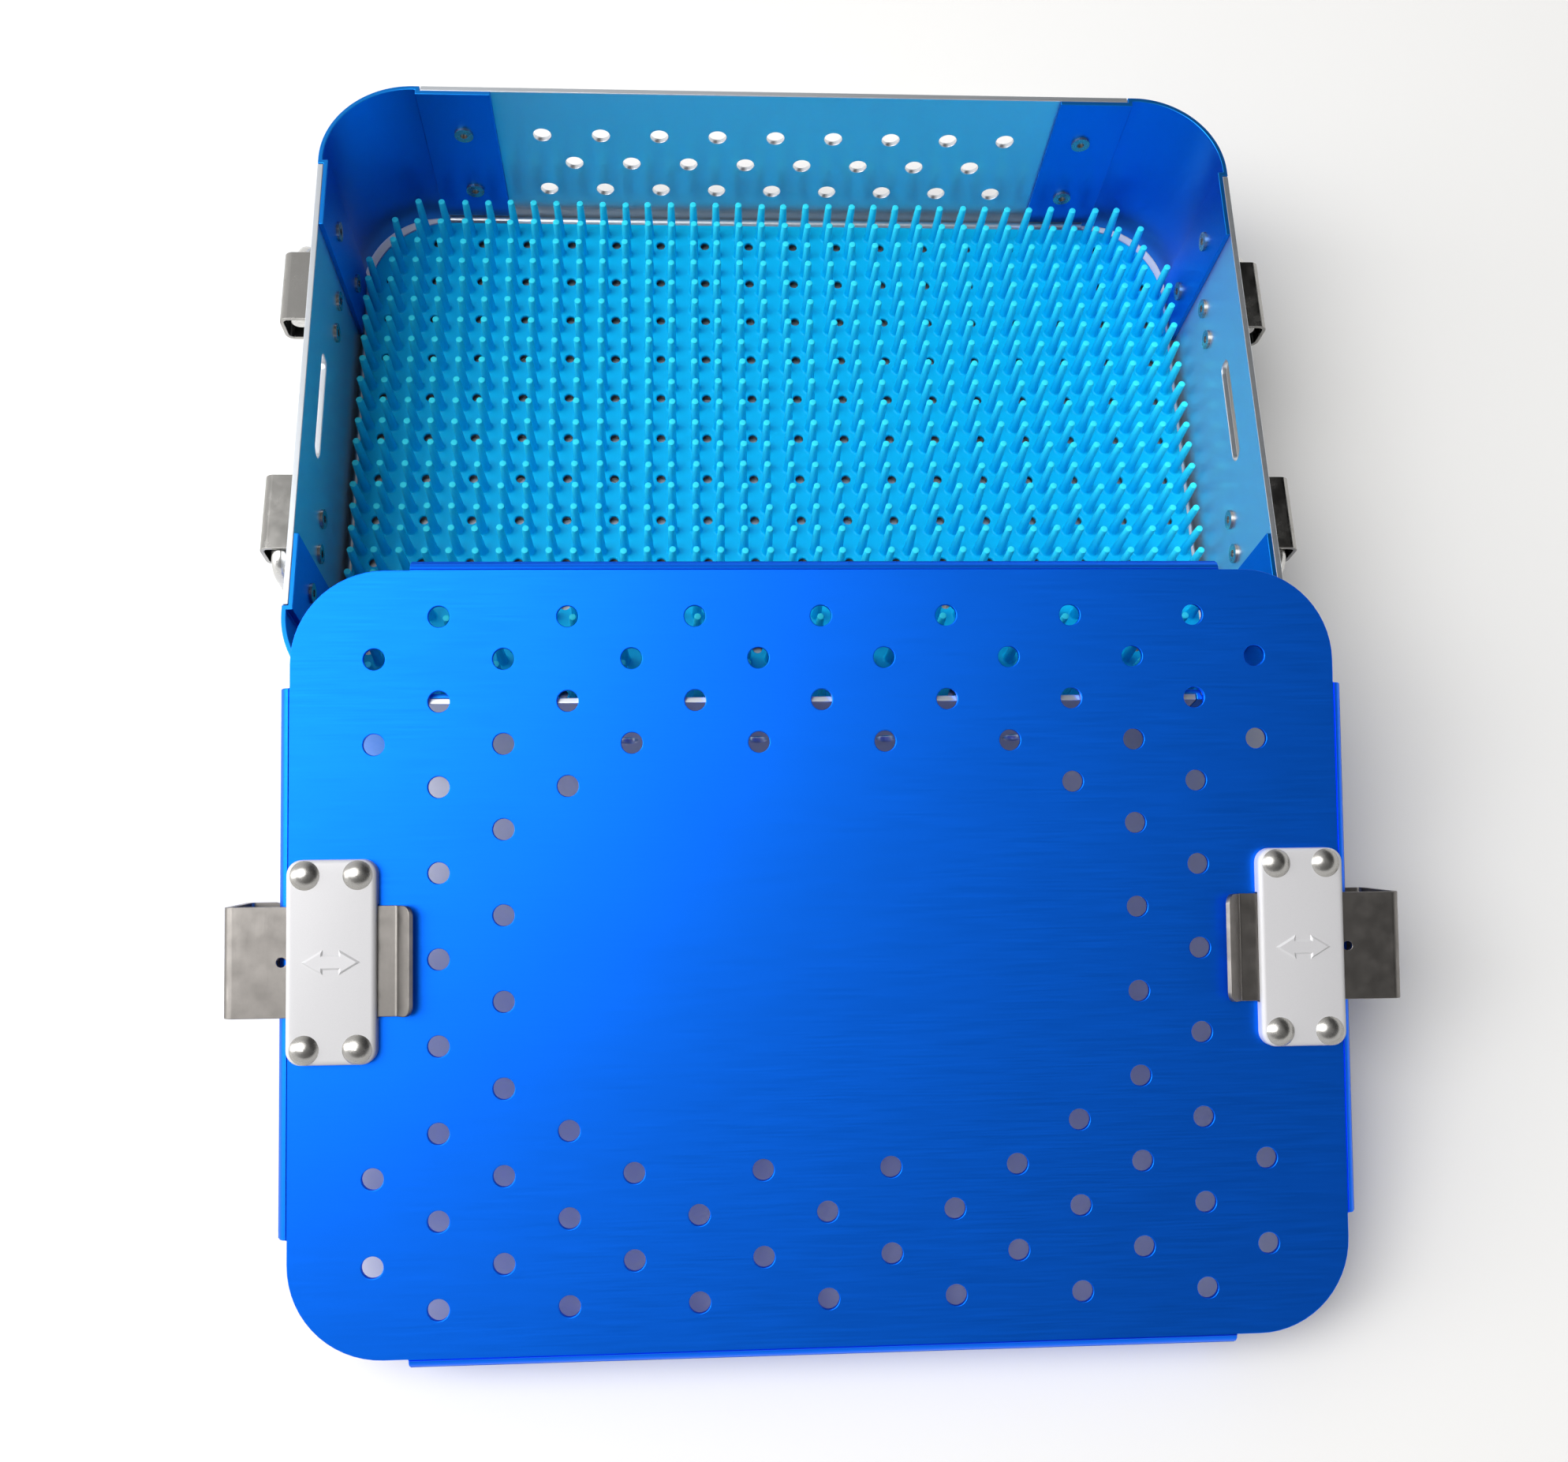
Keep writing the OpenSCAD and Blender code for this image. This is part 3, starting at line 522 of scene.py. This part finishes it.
def fingers_mesh(s, base_top):
    """All the fingers, each a closed tapered round post with a flared root and a flat, rounded tip."""
    draw = random.Random(7)
    sides = 12
    points, faces = [], []
    for x, y in finger_places(s):
        height = FINGERS_HIGH.z - base_top - draw.uniform(0, 0.25) * MM
        lean_x = draw.uniform(-1, 1) * s.tip_wander
        lean_y = draw.uniform(-1, 1) * s.tip_wander
        rings = finger_rings(s, height)
        first = len(points)
        for radius, z in rings:
            bend = max(0.0, z / height) ** 2
            for k in range(sides):
                a = 2 * math.pi * k / sides
                points.append((x + lean_x * bend + radius * math.cos(a),
                               y + lean_y * bend + radius * math.sin(a), base_top + z))
        for r in range(len(rings) - 1):
            for k in range(sides):
                low = first + r * sides
                n = (k + 1) % sides
                faces.append((low + k, low + n, low + sides + n, low + sides + k))
        faces.append([first + k for k in reversed(range(sides))])
        faces.append([first + (len(rings) - 1) * sides + k for k in range(sides)])
    mesh = bpy.data.meshes.new("fingers")
    mesh.from_pydata(points, [], faces)
    return mesh


def mat_base_mesh(s, low, high):
    """The mat's base as a filled outline with its drain holes, extruded with rounded edges."""
    curve = bpy.data.curves.new("mat_base", "CURVE")
    curve.dimensions = "2D"
    curve.fill_mode = "BOTH"
    curve.extrude = (high - low) / 2 - s.mat_edge
    curve.bevel_depth = s.mat_edge
    curve.bevel_resolution = 2
    curve.resolution_u = 1
    outline = rounded_rectangle(MAT_HIGH.x - MAT_LOW.x - 2 * s.mat_edge,
                                MAT_HIGH.y - MAT_LOW.y + s.mat_reach - 2 * s.mat_edge,
                                s.mat_corner - s.mat_edge, 16)
    add_loop(curve, [p + Vector((0, s.mat_reach / 2)) for p in outline])
    half_w, half_d, columns, rows, _ = mat_grid(s)
    for i in range(1 - columns, columns, 2):
        for j in range(rows - 1, -rows - 1, -2):
            x, y = i * s.pitch_x, (j + 0.5) * s.pitch_y
            if inside(x, y, half_w - s.drain_hole, half_d - s.drain_hole, s.mat_corner - s.drain_hole):
                radius = s.drain_hole / 2 + s.mat_edge - s.drain_edge
                circle = [Vector((x + radius * math.cos(a), y + radius * math.sin(a)))
                          for a in (2 * math.pi * k / 20 for k in range(20))]
                add_loop(curve, list(reversed(circle)))
    piece = bpy.data.objects.new("mat_base", curve)
    bpy.context.scene.collection.objects.link(piece)
    mesh = baked_mesh(piece, "mat_base")
    mesh.transform(Matrix.Translation((0, 0, (low + high) / 2)))
    return mesh


def add_loop(curve, points):
    """Adds a closed outline to a flat curve."""
    spline = curve.splines.new("POLY")
    spline.points.add(len(points) - 1)
    for target, point in zip(spline.points, points):
        target.co = (point.x, point.y, 0, 1)
    spline.use_cyclic_u = True


def joined(meshes, name):
    """Several meshes as one."""
    bm = bmesh.new()
    for mesh in meshes:
        bm.from_mesh(mesh)
        bpy.data.meshes.remove(mesh)
    return mesh_from(bm, name)


def cover_mesh(s):
    """The right latch cover on a level lid: rounded upper edge, raised arrow and a groove for the slide."""
    middle = cover_middle()
    outline = rounded_rectangle(s.cover_width, s.cover_length, s.cover_corner, 10)
    steps = 6
    layers = [(outline, 0.0)]
    for i in range(steps + 1):
        a = i / steps * math.pi / 2
        layers.append((inset(outline, s.cover_round * (1 - math.cos(a))),
                       s.cover_thickness - s.cover_round * 0.8 * (1 - math.sin(a))))
    bm = bmesh.new()
    add_stack(bm, layers)
    body = loose_object("cover", mesh_from(bm, "cover"))
    groove_half = s.slide_width / 2 + s.slide_side_clear
    bm = bmesh.new()
    groove = [Vector((x * s.cover_width, y * groove_half)) for x, y in ((-1, -1), (1, -1), (1, 1), (-1, 1))]
    add_stack(bm, [(groove, -1 * MM), (groove, s.slide_sheet + 2 * s.slide_clear)])
    body_mesh = cut_away(body, mesh_from(bm, "groove"))
    bm = bmesh.new()
    arrow = arrow_outline(s)
    sunk = 0.2 * MM
    top = s.cover_thickness
    add_stack(bm, [(arrow, top - sunk), (arrow, top),
                   (inset(arrow, s.arrow_slope * 0.75), top + s.arrow_rise * 0.85),
                   (inset(arrow, s.arrow_slope), top + s.arrow_rise)])
    mesh = joined([body_mesh, mesh_from(bm, "arrow")], "latch_cover")
    mesh.transform(Matrix.Translation((middle, 0, 0)))
    smooth(mesh, 25)
    return mesh


def arrow_outline(s):
    """A double-headed arrow along X, anticlockwise from its right tip."""
    tip, neck = s.arrow_length / 2, s.arrow_length / 2 - s.arrow_head
    head, shaft = s.arrow_width / 2, s.arrow_shaft / 2
    right = [(tip, 0), (neck, head), (neck, shaft)]
    points = right + [(-x, y) for x, y in reversed(right)]
    points += [(-x, -y) for x, y in right[1:]] + [(x, -y) for x, y in reversed(right[1:])]
    return [Vector(p) for p in points]


def slide_path(s):
    """The middle line of a slide's sheet from the finger lip to the hook's lip, as (x, z)."""
    half = s.slide_sheet / 2
    level = s.slide_clear + half
    root = cover_middle() - s.cover_width / 2 - s.lip_gap
    slope = math.atan2(s.lip_rise, s.lip_run)
    bend = s.slide_sheet * 1.3
    outer = LID_HALF_W + s.slide_out - half
    bottom = -s.lid_height - s.hook_clear - half
    turn = s.slide_bend - half
    # The lip ends where the CAD lip's middle line does, and curves into the strip
    tangent = bend * math.tan(slope / 2)
    lift = Vector((-math.cos(slope), math.sin(slope)))
    corner = Vector((root, level))
    end = corner + lift * (math.hypot(s.lip_run, s.lip_rise))
    path = [end + (corner - end) * i / 6 for i in range(6)]
    path = [p for p in path if (p - corner).length > tangent]
    centre = Vector((root + tangent, level + bend))
    for i in range(9):
        a = -math.pi / 2 - slope * (1 - i / 8)
        path.append(centre + bend * Vector((math.cos(a), math.sin(a))))
    path += arc((outer - turn, level - turn), turn, 90, 0)
    path += arc((outer - turn, bottom + turn), turn, 0, -90)
    tail = outer + half - s.hook_lip
    for i in range(1, 7):
        path.append(Vector((outer - turn + (tail - outer + turn) * i / 6, bottom)))
    return path


def arc(centre, radius, start, end, steps=8):
    """Points of an arc in degrees."""
    return [Vector(centre) + radius * Vector((math.cos(math.radians(a)), math.sin(math.radians(a))))
            for a in (start + (end - start) * i / steps for i in range(steps + 1))]


def slide_mesh(s):
    """The right latch slide on a level lid: one strip bent at both ends, with rounded corners."""
    path = slide_path(s)
    lengths = [0.0]
    for a, b in zip(path, path[1:]):
        lengths.append(lengths[-1] + (b - a).length)
    total = lengths[-1]
    stations = list(zip(path, lengths))
    bm = bmesh.new()
    rings = []
    for point, run in dense_ends(stations, s.lip_corner):
        before, after = neighbours(stations, run)
        along = (after - before).normalized()
        normal = Vector((-along.y, along.x)) * s.slide_sheet / 2
        near_end = min(run, total - run)
        half = s.slide_width / 2 - rounding(near_end, s.lip_corner)
        ring = []
        for side, offset in ((-1, -1), (1, -1), (1, 1), (-1, 1)):
            p = point + normal * offset
            ring.append(bm.verts.new((p.x, side * half, p.y)))
        rings.append(ring)
    for a, b in zip(rings, rings[1:]):
        for i in range(4):
            j = (i + 1) % 4
            bm.faces.new((a[i], a[j], b[j], b[i]))
    bm.faces.new(list(reversed(rings[0])))
    bm.faces.new(rings[-1])
    bmesh.ops.recalc_face_normals(bm, faces=bm.faces)
    body = loose_object("slide", mesh_from(bm, "slide"))
    hole_x = cover_middle() + s.cover_width / 2 + s.catch_gap
    circle = [Vector((hole_x + s.catch_hole / 2 * math.cos(a), s.catch_hole / 2 * math.sin(a)))
              for a in (2 * math.pi * k / 24 for k in range(24))]
    bm = bmesh.new()
    add_stack(bm, [(circle, -3 * MM), (circle, 3 * MM)])
    return cut_away(body, mesh_from(bm, "hole"))


def dense_ends(stations, radius):
    """Adds stations near both ends, so that the rounded corners are smooth."""
    total = stations[-1][1]
    steps = 8
    wanted = [radius * (1 - math.cos(i / steps * math.pi / 2)) for i in range(steps + 1)]
    runs = sorted({round(r, 7) for _, r in stations} | {round(w, 7) for w in wanted}
                  | {round(total - w, 7) for w in wanted})
    kept = []
    for run in runs:
        if not kept or run - kept[-1] > 0.01 * MM:
            kept.append(run)
    kept[-1] = total
    return [(point_at(stations, run), run) for run in kept]


def point_at(stations, run):
    """The point at a length along the path."""
    for (a, ra), (b, rb) in zip(stations, stations[1:]):
        if run <= rb + 1e-9:
            return a + (b - a) * max(0.0, min(1.0, (run - ra) / (rb - ra)))
    return stations[-1][0]


def neighbours(stations, run):
    """The points just before and after a place on the path, for its direction."""
    step = 0.15 * MM
    end = stations[-1][1]
    return point_at(stations, max(0.0, run - step)), point_at(stations, min(end, run + step))


def rounding(distance, radius):
    """How much narrower a strip with round corners is at a distance from its end."""
    if distance >= radius:
        return 0.0
    return radius - math.sqrt(max(0.0, radius * radius - (radius - distance) ** 2))


# Operators

class CASSETTE_OT_tray(Operator):
    """Finishes the tray's folded sheet"""
    bl_idname = "cassette.tray"
    bl_label = "Tray"

    def execute(self, context):
        silver = anodised_aluminium("satin_aluminium", colours().tray_silver, 0.32, 0.9)
        show_node("tray_pan", silver, sizes().sheet_edge)
        return {"FINISHED"}


class CASSETTE_OT_corner_pieces(Operator):
    """Finishes the four blue corner pieces"""
    bl_idname = "cassette.corner_pieces"
    bl_label = "Corner pieces"

    def execute(self, context):
        blue = anodised_aluminium("deep_blue_anodised_aluminium", colours().corner_blue, 0.38)
        for place in ("front_left", "front_right", "back_left", "back_right"):
            show_node(place + "_corner", blue, sizes().sheet_edge)
        return {"FINISHED"}


class CASSETTE_OT_rivets(Operator):
    """Finishes all the rivets"""
    bl_idname = "cassette.rivets"
    bl_label = "Rivets"

    def execute(self, context):
        steel = polished_steel("polished_steel_rivet", colours().rivet, 0.2)
        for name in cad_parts:
            if name.endswith("_rivets"):
                show_node(name, steel)
        return {"FINISHED"}


class CASSETTE_OT_brackets(Operator):
    """Finishes the four handle brackets"""
    bl_idname = "cassette.brackets"
    bl_label = "Handle brackets"

    def execute(self, context):
        steel = stainless_sheet("stainless_bracket_sheet", colours().bracket_steel, 0.2)
        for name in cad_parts:
            if name.endswith("_bracket"):
                show_node(name, steel, sizes().steel_edge)
        return {"FINISHED"}


class CASSETTE_OT_handles(Operator):
    """Finishes the two wire handles"""
    bl_idname = "cassette.handles"
    bl_label = "Handles"

    def execute(self, context):
        wire = polished_steel("bright_stainless_wire", colours().wire, 0.2)
        for side in SIDES:
            show_node(SIDE_NAMES[side] + "_handle", wire, sizes().wire_edge)
        return {"FINISHED"}


class CASSETTE_OT_finger_mat(Operator):
    """Makes the silicone mat with all its fingers and drain holes"""
    bl_idname = "cassette.finger_mat"
    bl_label = "Finger mat"

    def execute(self, context):
        s = sizes()
        base_top = MAT_HIGH.z + s.strip_rise
        base = mat_base_mesh(s, MAT_LOW.z, base_top)
        mesh = joined([base, fingers_mesh(s, base_top)], "finger_mat")
        mesh.transform(Matrix.Translation((0, (MAT_LOW.y + MAT_HIGH.y) / 2, 0)))
        smooth(mesh, 50)
        # The tip colour is painted light up the fingers, and below the skin the drain holes get painted
        # shade.
        silicone = moulded_silicone("moulded_silicone", colours().silicone, colours().silicone_tip_light,
                                    base_top, base_top, FINGERS_HIGH.z)
        new_piece("finger_mat", mesh, silicone, "tray", ("silicone_mat", "mat_fingers"))
        return {"FINISHED"}


class CASSETTE_OT_lid(Operator):
    """Finishes the lid's folded, perforated sheet"""
    bl_idname = "cassette.lid"
    bl_label = "Lid"

    def execute(self, context):
        blue = anodised_aluminium("blue_anodised_aluminium", colours().lid_blue, 0.42)
        show_node("lid_plate", blue, sizes().sheet_edge)
        return {"FINISHED"}


class CASSETTE_OT_latch_covers(Operator):
    """Makes the two latch covers with their raised arrows"""
    bl_idname = "cassette.latch_covers"
    bl_label = "Latch covers"

    def execute(self, context):
        silver = blasted_aluminium("blasted_clear_anodised_aluminium", colours().cover_silver)
        for side in SIDES:
            mesh = cover_mesh(sizes())
            place_on_lid(mesh, side)
            name = SIDE_NAMES[side] + "_latch_cover"
            new_piece(name + "_plate", mesh, silver, "lid", (name,))
        return {"FINISHED"}


class CASSETTE_OT_latch_slides(Operator):
    """Makes the two bent latch slides"""
    bl_idname = "cassette.latch_slides"
    bl_label = "Latch slides"

    def execute(self, context):
        steel = stainless_sheet("stainless_slide_sheet", colours().slide_steel, 0.36)
        for side in SIDES:
            mesh = slide_mesh(sizes())
            place_on_lid(mesh, side)
            name = SIDE_NAMES[side] + "_latch"
            piece = new_piece(name + "_strip", mesh, steel, name, (name + "_slide",))
            round_edges(piece, sizes().steel_edge)
        return {"FINISHED"}


class CASSETTE_OT_stage(Operator):
    """Sets up the pale table top, the soft light from the left and the camera"""
    bl_idname = "cassette.stage"
    bl_label = "Stage"

    def execute(self, context):
        stage = context.scene.cassette_stage
        make_floor(stage)
        make_world(context.scene, stage)
        make_window(context.scene, "window", stage.window_place, stage.window_width, stage.window_length,
                    stage.window_radiance)
        make_window(context.scene, "low_window", stage.low_window_place, stage.low_window_width,
                    stage.window_length, stage.low_window_radiance)
        make_camera(context.scene, stage)
        context.scene.view_settings.view_transform = "Standard"
        return {"FINISHED"}


def seen(tree):
    """1 where the camera looks, straight or by way of metal or glass, and otherwise 0."""
    rays = add_node(tree, "ShaderNodeLightPath")
    mirrored = add_node(tree, "ShaderNodeMath", {
        0: rays.outputs["Is Glossy Ray"], 1: rays.outputs["Is Transmission Ray"]}, operation="MAXIMUM")
    straight = add_node(tree, "ShaderNodeMath", {
        0: rays.outputs["Is Camera Ray"], 1: mirrored.outputs["Value"]}, operation="MAXIMUM")
    return straight.outputs["Value"]


def make_floor(stage):
    """A pale table top that keeps its shadows. The camera and the metal that mirrors it see it a little
    brighter than it is."""
    half = stage.floor_size / 2
    mesh = bpy.data.meshes.new("table_top")
    corners = [(-half, -half, 0), (half, -half, 0), (half, half, 0), (-half, half, 0)]
    mesh.from_pydata(corners, [], [(0, 1, 2, 3)])
    material, tree, shader = new_material("pale_table_top", {
        "Base Color": colours().floor, "Roughness": 0.85, "Specular IOR Level": 0.1,
        "Emission Color": colours().floor})
    lift = add_node(tree, "ShaderNodeMath", {0: seen(tree), 1: stage.floor_lift}, operation="MULTIPLY")
    tree.links.new(lift.outputs["Value"], shader.inputs["Emission Strength"])
    mesh.materials.append(material)
    loose_object("table_top", mesh)


def make_world(scene, stage):
    """A plain room: its ceiling is bright on the left, dims to the right and towards the viewer, and is dark
    in the far right corner. A white backdrop stands around it, up to about 25 degrees above the table."""
    world = bpy.data.worlds.new("room")
    world.use_nodes = True
    scene.world = world
    tree = world.node_tree
    tree.nodes.clear()
    place = add_node(tree, "ShaderNodeTexCoord")
    axes = add_node(tree, "ShaderNodeSeparateXYZ", {"Vector": place.outputs["Generated"]})
    across = add_node(tree, "ShaderNodeMapRange", {
        "Value": axes.outputs["X"], "From Min": -0.3, "From Max": 0.75, "To Min": stage.room_left,
        "To Max": stage.room_right}, interpolation_type="SMOOTHSTEP")
    depth = add_node(tree, "ShaderNodeMapRange", {
        "Value": axes.outputs["Y"], "From Min": -0.7, "From Max": -0.1, "To Min": stage.room_near,
        "To Max": 1.1})
    nearness = add_node(tree, "ShaderNodeVectorMath", {
        0: place.outputs["Generated"], 1: Vector(stage.dark_corner).normalized()}, operation="DOT_PRODUCT")
    corner = add_node(tree, "ShaderNodeMapRange", {
        "Value": nearness.outputs["Value"], "From Min": 0.64, "From Max": 0.82, "To Min": 1.0,
        "To Max": 0.08}, interpolation_type="SMOOTHSTEP")
    glow = add_node(tree, "ShaderNodeMapRange", {
        "Value": axes.outputs["X"], "From Min": -0.45, "From Max": 0.0, "To Min": stage.room_glow,
        "To Max": 0.0}, interpolation_type="SMOOTHSTEP")
    both = add_node(tree, "ShaderNodeMath", {0: across.outputs["Result"], 1: glow.outputs["Result"]},
                    operation="ADD")
    level = add_node(tree, "ShaderNodeMath", {0: both.outputs["Value"], 1: depth.outputs["Result"]},
                     operation="MULTIPLY")
    light = add_node(tree, "ShaderNodeMath", {0: level.outputs["Value"], 1: corner.outputs["Result"]},
                     operation="MULTIPLY")
    white = linear("#FFFFFF")
    room = add_node(tree, "ShaderNodeBackground", {"Color": white, "Strength": light.outputs["Value"]})
    screen = add_node(tree, "ShaderNodeBackground", {"Color": white, "Strength": 1.0})
    backdrop = add_node(tree, "ShaderNodeMapRange", {
        "Value": axes.outputs["Z"], "From Min": 0.42, "From Max": 0.47, "To Min": 1.0, "To Max": 0.0})
    shown = add_node(tree, "ShaderNodeMath", {0: seen(tree), 1: backdrop.outputs["Result"]},
                     operation="MULTIPLY")
    mix = add_node(tree, "ShaderNodeMixShader", {
        0: shown.outputs["Value"], 1: room.outputs["Background"], 2: screen.outputs["Background"]})
    add_node(tree, "ShaderNodeOutputWorld", {"Surface": mix.outputs["Shader"]})


def make_window(scene, name, place, width, length, radiance):
    """A large soft light that faces the cassette, bright enough for its radiance to be the one given."""
    light = bpy.data.lights.new(name, "AREA")
    light.shape = "ELLIPSE"
    light.size = width
    light.size_y = length
    light.energy = radiance * math.pi ** 2 / 4 * width * length
    window = bpy.data.objects.new(name, light)
    window.location = place
    window.rotation_euler = Vector(place).to_track_quat("Z", "Y").to_euler()
    scene.collection.objects.link(window)


def make_camera(scene, stage):
    """The camera, where the photograph was taken from."""
    data = bpy.data.cameras.new("camera")
    data.sensor_width = 36
    data.sensor_fit = "HORIZONTAL"
    data.lens = stage.lens
    camera = bpy.data.objects.new("camera", data)
    camera.location = stage.camera_place
    camera.rotation_euler = Euler(stage.camera_turn)
    scene.collection.objects.link(camera)
    scene.camera = camera


class CASSETTE_PT_panel(Panel):
    """The cassette's pieces and stage"""
    bl_label = "Cassette"
    bl_idname = "CASSETTE_PT_panel"
    bl_space_type = "VIEW_3D"
    bl_region_type = "UI"
    bl_category = "Cassette"

    def draw(self, context):
        for operator in OPERATORS:
            self.layout.operator(operator.bl_idname)


GROUPS = (CassetteSizes, CassetteColours, CassetteStage)
OPERATORS = (
    CASSETTE_OT_tray, CASSETTE_OT_corner_pieces, CASSETTE_OT_rivets, CASSETTE_OT_brackets,
    CASSETTE_OT_handles, CASSETTE_OT_finger_mat, CASSETTE_OT_lid, CASSETTE_OT_latch_covers,
    CASSETTE_OT_latch_slides, CASSETTE_OT_stage,
)


def register():
    for cls in (*GROUPS, *OPERATORS, CASSETTE_PT_panel):
        bpy.utils.register_class(cls)
    bpy.types.Scene.cassette_sizes = PointerProperty(type=CassetteSizes)
    bpy.types.Scene.cassette_colours = PointerProperty(type=CassetteColours)
    bpy.types.Scene.cassette_stage = PointerProperty(type=CassetteStage)


def unregister():
    del bpy.types.Scene.cassette_stage
    del bpy.types.Scene.cassette_colours
    del bpy.types.Scene.cassette_sizes
    for cls in (CASSETTE_PT_panel, *reversed(OPERATORS), *reversed(GROUPS)):
        bpy.utils.unregister_class(cls)


def main():
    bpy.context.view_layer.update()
    register()
    for operator in OPERATORS:
        group, name = operator.bl_idname.split(".")
        getattr(getattr(bpy.ops, group), name)()


if __name__ == "__main__":
    main()
